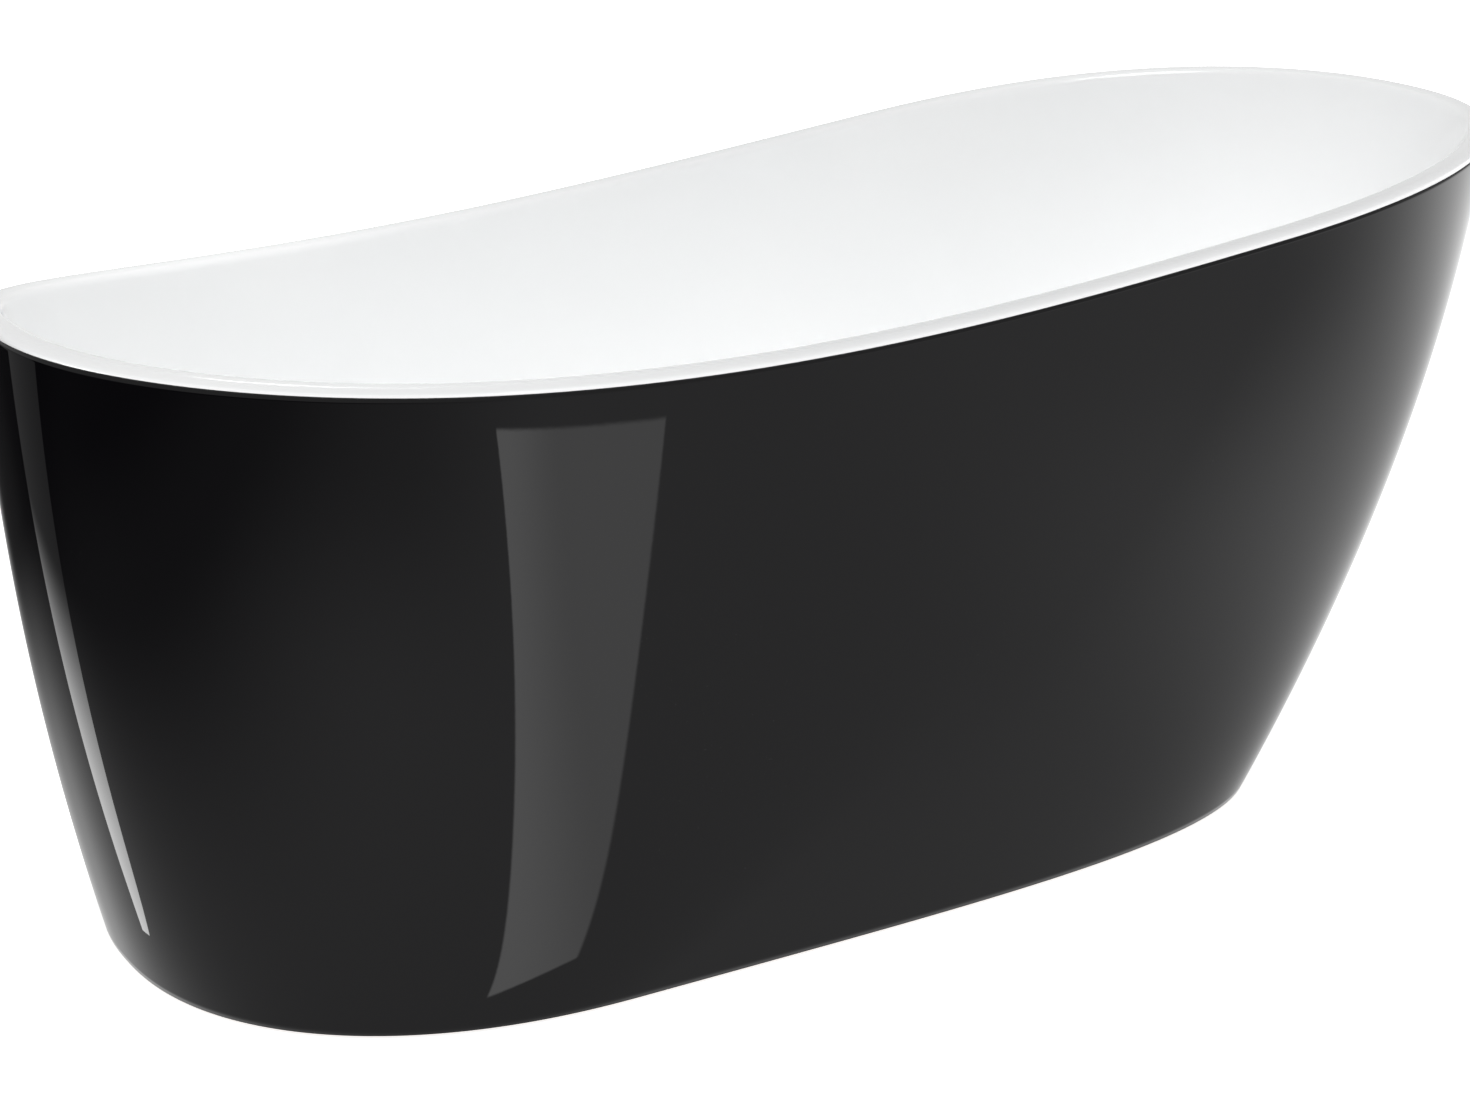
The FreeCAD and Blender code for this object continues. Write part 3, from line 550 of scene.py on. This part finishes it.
def geometry_tree(name, inputs):
    """A Geometry Nodes tree with named number inputs, its graph, and the inputs as signals."""
    tree = bpy.data.node_groups.new(name, "GeometryNodeTree")
    tree.interface.new_socket("Geometry", in_out="INPUT", socket_type="NodeSocketGeometry")
    tree.interface.new_socket("Geometry", in_out="OUTPUT", socket_type="NodeSocketGeometry")
    for label in inputs:
        tree.interface.new_socket(label, in_out="INPUT", socket_type="NodeSocketFloat")
    graph = Graph(tree)
    enter = graph.add("NodeGroupInput")
    outputs = enter.socket.node.outputs
    return tree, graph, enter, {label: Signal(graph, outputs[label]) for label in inputs}


def close_tree(graph, geometry, material):
    """Every tree ends in Realize Instances and Set Material."""
    real = graph.add("GeometryNodeRealizeInstances", {}, {"Geometry": geometry})
    painted = graph.add("GeometryNodeSetMaterial", {}, {"Geometry": real, "Material": material})
    graph.add("NodeGroupOutput", {}, {"Geometry": painted})


def made_by(tree, start, values):
    """Plain mesh that a tree makes from a starting mesh or curve, with its inputs set by identifier."""
    maker = bpy.data.objects.new("maker", start)
    scene.collection.objects.link(maker)
    modifier = maker.modifiers.new("maker", "NODES")
    modifier.node_group = tree
    for item in tree.interface.items_tree:
        if item.name in values and item.in_out == "INPUT":
            modifier[item.identifier] = values[item.name]
    mesh = bpy.data.meshes.new_from_object(maker.evaluated_get(bpy.context.evaluated_depsgraph_get()))
    maker.modifiers.clear()
    bpy.data.objects.remove(maker)
    return mesh


def facing_out(mesh):
    """Merge doubles and turn the faces of a sheet or shell outwards."""
    bm = bmesh.new()
    bm.from_mesh(mesh)
    bmesh.ops.remove_doubles(bm, verts=bm.verts, dist=WELD_WITHIN)
    bmesh.ops.recalc_face_normals(bm, faces=bm.faces)
    bm.to_mesh(mesh)
    bm.free()
    return mesh


skirt_tree, g, _, size = geometry_tree("skirt_form", ["Low edge", "Top drop", "Recess", "Flange"])
grid = g.add("GeometryNodeMeshGrid", {}, {"Size X": 1.0, "Size Y": 1.0, "Vertices X": SKIRT_COLUMNS + 1,
                                          "Vertices Y": SKIRT_ROWS + FLANGE_ROWS + 1})
x, y, _ = g.parts(g.add("GeometryNodeInputPosition"))
angle = (x + 0.5) * (2 * pi)
row = (y + 0.5) * (SKIRT_ROWS + FLANGE_ROWS)
top = rim_height(g, angle) - size["Top drop"]
height = size["Low edge"] + (top - size["Low edge"]) * g.minimum(row / SKIRT_ROWS, 1.0)
# the switch turns any start of the flange into a full 1
turned_in = g.maximum(row - SKIRT_ROWS, 0.0) / FLANGE_ROWS
form_height = height + size["Top drop"] * g.minimum(turned_in * SWITCH, 1.0)
px, py = inset_point(g, angle, form_height, size["Recess"] + (size["Flange"] - size["Recess"]) * turned_in)
point = g.add("ShaderNodeCombineXYZ", {}, {0: px, 1: py, 2: height})
sheet = g.add("GeometryNodeSetPosition", {}, {"Geometry": grid, "Position": point})
sheet = g.add("GeometryNodeMergeByDistance", {}, {"Geometry": sheet, "Distance": MERGE_WITHIN})
close_tree(g, sheet, black_acrylic)
skirt_mesh = facing_out(made_by(skirt_tree, bpy.data.meshes.new("start"), {
    "Low edge": SKIRT_LOW, "Top drop": SKIRT_TOP_DROP, "Recess": SKIRT_RECESS, "Flange": FLANGE}))
skirt = show("skirt", skirt_mesh, None, "root", "black_acrylic", "outer_skirt")
wall = skirt.modifiers.new("wall", "SOLIDIFY")
wall.thickness = SKIRT_WALL
wall.offset = -1

# ------------------------------------------------------------------------------------------------ backing
# Glassfibre and resin sprayed behind the bowl stiffen it, and a bead of adhesive under the rim bonds the
# skirt's flange to it. Both are hidden once the two mouldings are together.
def paint(material, *names):
    for name in names:
        for holder in nodes[name].material_slots:
            holder.material = material


glassfibre, g, shader = new_material("glassfibre")
place = g.place()
px, py, pz = g.parts(place)
chopped = g.add("ShaderNodeCombineXYZ", {}, {0: px * 3.0, 1: py, 2: pz * 0.5})
strands = g.add("ShaderNodeTexVoronoi", {"feature": "DISTANCE_TO_EDGE"}, {"Vector": chopped, "Scale": 70.0})
resin = g.noise(place, 24.0, 5.0, 0.65)
feed(g, shader,
     Base_Color=g.mix(g.ramp(resin, 0.35, 0.65), (0.62, 0.60, 0.47, 1), (0.76, 0.74, 0.63, 1)),
     Roughness=0.45 + 0.35 * g.ramp(strands, 0.0, 0.12),
     Normal=g.bump(resin + 0.5 * g.ramp(strands, 0.0, 0.1), 0.7, 0.0015))
paint(glassfibre, "glassfibre_backing")

adhesive, g, shader = new_material("adhesive")
place = g.place()
feed(g, shader,
     Base_Color=g.mix(g.noise(place, 30.0), (0.78, 0.77, 0.72, 1), (0.86, 0.85, 0.82, 1)),
     Roughness=0.4 + 0.2 * g.noise(place, 90.0),
     Normal=g.bump(g.noise(place, 60.0, 2.0), 0.4, 0.001))
paint(adhesive, "rim_adhesive")

# ------------------------------------------------------------------------------------------------ plywood
# A bent birch ply batten runs round the inside of the skirt's foot and a birch ply board carries the bowl's
# floor. Both are 18 mm and show their plies on cut edges and straight grain on their faces.
PLY_THICK = 0.0014

plywood, g, shader = new_material("birch_plywood")
place = g.place()
px, py, pz = g.parts(place)
stretched = g.add("ShaderNodeCombineXYZ", {}, {0: px * 1.6, 1: py * 26.0, 2: pz * 26.0})
grain = g.noise(stretched, 5.0, 5.0, 0.6)
knots = g.ramp(g.noise(place, 7.0, 2.0), 0.62, 0.72)
face_up = g.absolute(g.parts(g.add("ShaderNodeNewGeometry", output=1))[2])
plies = g.ramp(g.sin(pz * (pi / PLY_THICK) + 0.6 * g.noise(place, 60.0)), -0.2, 0.3)
shade = g.where(g.ramp(face_up, 0.4, 0.7), 0.75 * grain + 0.2 * knots, 0.35 + 0.4 * plies)
feed(g, shader,
     Base_Color=g.mix(shade, (0.66, 0.46, 0.27, 1), (0.36, 0.21, 0.10, 1)),
     Roughness=0.5 + 0.25 * grain,
     Normal=g.bump(grain + 0.4 * plies, 0.35, 0.0006))
paint(plywood, "skirt_batten", "base_board")

# ------------------------------------------------------------------------------------------------ frame
# Two rails and three crossbars of welded 30 mm box tube with angle brackets to the batten, all hot-dip
# galvanised, so they carry the frosted spangle of zinc. Plastic plugs close the tubes' ends.
galvanised, g, shader = new_material("galvanised_steel")
place = g.place()
spangle = g.add("ShaderNodeTexVoronoi", {"feature": "F1"}, {"Vector": place, "Scale": 95.0}, 1)
crystal = g.add("ShaderNodeSeparateXYZ", {}, {0: spangle})
feed(g, shader,
     Base_Color=g.mix(crystal, (0.44, 0.46, 0.48, 1), (0.66, 0.68, 0.70, 1)),
     Metallic=0.85 + 0.1 * crystal,
     Roughness=0.32 + 0.2 * crystal + 0.12 * g.noise(place, 30.0),
     Normal=g.bump(crystal + 0.3 * g.noise(place, 240.0), 0.12, 0.0003))
paint(galvanised, "frame_rail_left", "frame_rail_right", "frame_crossbar_foot", "frame_crossbar_middle",
      "frame_crossbar_head", "skirt_brackets")


def moulded(name, light, dark, roughness, grain):
    """Moulded plastic or rubber: two close tones, an even sheen and a fine tool texture."""
    material, graph, shade = new_material(name)
    spot = graph.place()
    feed(graph, shade,
         Base_Color=graph.mix(graph.noise(spot, 45.0, 4.0), (*dark, 1), (*light, 1)),
         Roughness=roughness + 0.12 * graph.noise(spot, 120.0),
         Normal=graph.bump(graph.noise(spot, grain, 2.0), 0.25, 0.0002))
    return material


black_plastic = moulded("black_plastic", (0.045, 0.045, 0.047), (0.025, 0.025, 0.026), 0.42, 900.0)
paint(black_plastic, "frame_end_caps")

# ------------------------------------------------------------------------------------------------ feet
# Five levelling feet: a zinc-plated M12 stud with a flange and a spanner hexagon stands in a black plastic
# pad, and screws through a nut welded under the frame and a lock nut below it.
THREAD_PITCH = 0.00175
THREAD_DEEP = 0.0006
STUD_RADIUS = 0.006
THREAD_ROWS_PER_TURN = 6
FLANGE_RADIUS = 0.009
FLANGE_LOW = 0.0153
FLANGE_HIGH = 0.019
HEX_RADIUS = 0.009
HEX_HIGH = 0.027
HEX_SIDES = 6
FLANGE_SIDES = 40
EDGE_BREAK = 0.0003
THREAD_COLUMNS = 16
WHOLE_TURNS = 1000

zinc, g, shader = new_material("zinc_plated_steel")
place = g.place()
px, py, pz = g.parts(place)
turning = g.noise(g.add("ShaderNodeCombineXYZ", {}, {0: px * 0.2, 1: py * 0.2, 2: pz}), 1500.0, 2.0)
feed(g, shader,
     Base_Color=g.mix(g.noise(place, 40.0), (0.60, 0.60, 0.56, 1), (0.72, 0.72, 0.70, 1)),
     Metallic=0.9 + 0.1 * g.noise(place, 20.0),
     Roughness=0.22 + 0.22 * turning,
     Normal=g.bump(turning, 0.1, 0.0001))
paint(zinc, "board_screws", "bracket_screws", "foot_weld_nuts", "foot_lock_nuts")

thread_tree, g, _, size = geometry_tree("thread_form", ["Radius", "Depth", "Pitch", "Low", "High"])
rows = g.add("ShaderNodeMath", {"operation": "CEIL"},
             {0: (size["High"] - size["Low"]) / size["Pitch"] * THREAD_ROWS_PER_TURN})
grid = g.add("GeometryNodeMeshGrid", {}, {"Size X": 1.0, "Size Y": 1.0, "Vertices X": THREAD_COLUMNS + 1,
                                          "Vertices Y": rows})
x, y, _ = g.parts(g.add("GeometryNodeInputPosition"))
share = y + 0.5
turn = (x + 0.5) * (2 * pi)
height = size["Low"] + (size["High"] - size["Low"]) * share
# whole turns are added so that the fraction is always of a positive number
wave = g.maths("FRACT", height / size["Pitch"] - (x + 0.5) + WHOLE_TURNS)
groove = g.absolute(wave * 2 - 1)
from_end = g.minimum(share, 1 - share) * rows
radius = (size["Radius"] - size["Depth"] * groove) * g.minimum(from_end, 1.0)
point = g.add("ShaderNodeCombineXYZ", {}, {0: radius * g.cos(turn), 1: radius * g.sin(turn), 2: height})
thread = g.add("GeometryNodeSetPosition", {}, {"Geometry": grid, "Position": point})
thread = g.add("GeometryNodeMergeByDistance", {}, {"Geometry": thread, "Distance": MERGE_WITHIN})
close_tree(g, thread, zinc)

for foot in ("foot_left", "foot_right", "head_left", "head_right", "middle"):
    low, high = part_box("foot_stud_" + foot)
    mesh = made_by(thread_tree, bpy.data.meshes.new("start"), {
        "Radius": STUD_RADIUS, "Depth": THREAD_DEEP, "Pitch": THREAD_PITCH, "Low": low.z, "High": high.z})
    bm = bmesh.new()
    bm.from_mesh(mesh)
    bmesh.ops.remove_doubles(bm, verts=bm.verts, dist=WELD_WITHIN)
    for segments, radius, bottom, top in ((FLANGE_SIDES, FLANGE_RADIUS, FLANGE_LOW, FLANGE_HIGH),
                                          (HEX_SIDES, HEX_RADIUS, FLANGE_HIGH, HEX_HIGH)):
        made = bmesh.ops.create_cone(bm, cap_ends=True, segments=segments, radius1=radius, radius2=radius,
                                     depth=top - bottom)
        bmesh.ops.translate(bm, verts=made["verts"], vec=(0, 0, (bottom + top) / 2))
        edges = {edge for vert in made["verts"] for edge in vert.link_edges}
        bmesh.ops.bevel(bm, geom=list(edges), offset=EDGE_BREAK, segments=2, affect="EDGES", profile=0.5)
    bmesh.ops.translate(bm, verts=bm.verts, vec=((low.x + high.x) / 2, (low.y + high.y) / 2, 0))
    bmesh.ops.recalc_face_normals(bm, faces=bm.faces)
    bm.to_mesh(mesh)
    bm.free()
    show("stud_" + foot, mesh, zinc, "stud_" + foot, "zinc_steel", "foot_stud_" + foot)
    paint(black_plastic, "foot_pad_" + foot)

# ------------------------------------------------------------------------------------------------ waste
# The waste is a chromed brass flange bedded on a rubber seal, with a click plug on a sprung brass stem. The
# grey body below takes the overflow's hose, and a white 40 mm tail leaves it through a ribbed nut.
chrome, g, shader = new_material("chrome")
place = g.place()
wiped = g.noise(place, 55.0, 4.0, 0.6)
feed(g, shader,
     Base_Color=g.mix(wiped, (0.78, 0.79, 0.81, 1), (0.86, 0.87, 0.88, 1)),
     Metallic=0.96 + 0.04 * wiped,
     Roughness=0.03 + 0.09 * g.ramp(wiped, 0.4, 0.75),
     Normal=g.bump(wiped, 0.02, 0.0002))
paint(chrome, "drain_flange", "drain_plug_cap", "overflow_cover", "overflow_screw")

brass, g, shader = new_material("brass")
place = g.place()
px, py, pz = g.parts(place)
rings_cut = g.noise(g.add("ShaderNodeCombineXYZ", {}, {0: px * 0.1, 1: py * 0.1, 2: pz}), 2200.0, 2.0)
feed(g, shader,
     Base_Color=g.mix(g.noise(place, 60.0), (0.58, 0.42, 0.17, 1), (0.74, 0.57, 0.28, 1)),
     Metallic=0.92 + 0.08 * rings_cut,
     Roughness=0.22 + 0.2 * rings_cut,
     Normal=g.bump(rings_cut, 0.1, 0.0001))
paint(brass, "drain_plug_stem", "drain_cartridge")

wire, g, shader = new_material("spring_wire")
place = g.place()
feed(g, shader,
     Base_Color=g.mix(g.noise(place, 200.0), (0.42, 0.43, 0.45, 1), (0.58, 0.59, 0.61, 1)),
     Metallic=0.9 + 0.1 * g.noise(place, 90.0),
     Roughness=0.25 + 0.2 * g.noise(place, 500.0))
paint(wire, "drain_spring")

rubber = moulded("rubber", (0.050, 0.050, 0.050), (0.022, 0.022, 0.022), 0.62, 500.0)
paint(rubber, "drain_flange_seal", "drain_plug_seal", "drain_body_seal", "overflow_gasket")
grey_plastic = moulded("grey_plastic", (0.34, 0.35, 0.36), (0.27, 0.28, 0.29), 0.36, 700.0)
paint(grey_plastic, "drain_body", "overflow_elbow", "waste_tail_nut")
white_plastic = moulded("white_plastic", (0.84, 0.84, 0.82), (0.76, 0.76, 0.73), 0.34, 700.0)
paint(white_plastic, "waste_tail", "hose_nut_top", "hose_nut_bottom")

# ------------------------------------------------------------------------------------------------ hose
# A corrugated white hose 28 mm across takes the overflow's water from the elbow behind the foot end down to
# the waste body, held by a nut at each end. It is blown in one piece, with a rib every 5 mm.
HOSE_RADIUS = 0.0138
RIB_DEEP = 0.0016
RIB_PITCH = 0.005
HOSE_SKIN = 0.0009
ELBOW_DROP = 0.0395
ELBOW_BEHIND = 0.030
HOSE_LEVEL = 0.101
HOSE_STRAIGHT = 0.048
HOSE_SIDES = 28
STEPS_PER_RIB = 7
first = overflow - up_wall * ELBOW_DROP - into_bowl * ELBOW_BEHIND
route = [
    first,
    first - up_wall * HOSE_STRAIGHT,
    Vector((-0.793, 0, 0.330)),
    Vector((-0.775, 0, 0.262)),
    Vector((-0.749, 0, 0.200)),
    Vector((-0.711, 0, 0.148)),
    Vector((-0.661, 0, 0.112)),
    Vector((-0.598, 0, HOSE_LEVEL)),
    Vector((-0.5175, 0, HOSE_LEVEL)),
]
hose_line = bpy.data.curves.new("hose_line", "CURVE")
hose_line.dimensions = "3D"
spline = hose_line.splines.new("NURBS")
spline.points.add(len(route) - 1)
for control, spot in zip(spline.points, route):
    control.co = (*spot, 1)
spline.order_u = 3
spline.use_endpoint_u = True
spline.resolution_u = 24

hose_plastic = moulded("hose_plastic", (0.80, 0.80, 0.77), (0.70, 0.70, 0.66), 0.32, 400.0)
hose_tree, g, enter, size = geometry_tree("hose_form", ["Radius", "Rib depth", "Rib pitch"])
line = g.add("GeometryNodeResampleCurve", {"mode": "LENGTH"},
             {"Curve": Signal(g, enter.socket), "Length": RIB_PITCH / STEPS_PER_RIB})
walked = Signal(g, g.add("GeometryNodeSplineParameter").socket.node.outputs["Length"])
rib = 0.5 + 0.5 * g.cos(walked * (2 * pi / RIB_PITCH))
ring = g.add("GeometryNodeCurvePrimitiveCircle", {}, {"Resolution": HOSE_SIDES, "Radius": 1.0})
tube = g.add("GeometryNodeCurveToMesh", {},
             {"Curve": line, "Profile Curve": ring, "Scale": size["Radius"] - size["Rib depth"] * rib})
close_tree(g, tube, hose_plastic)
hose_mesh = facing_out(made_by(hose_tree, hose_line, {
    "Radius": HOSE_RADIUS, "Rib depth": RIB_DEEP, "Rib pitch": RIB_PITCH}))
hose = show("hose", hose_mesh, hose_plastic, "root", "hose_plastic", "overflow_hose")
skin = hose.modifiers.new("skin", "SOLIDIFY")
skin.thickness = HOSE_SKIN
skin.offset = -1

# ------------------------------------------------------------------------------------------------ close
low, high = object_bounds()
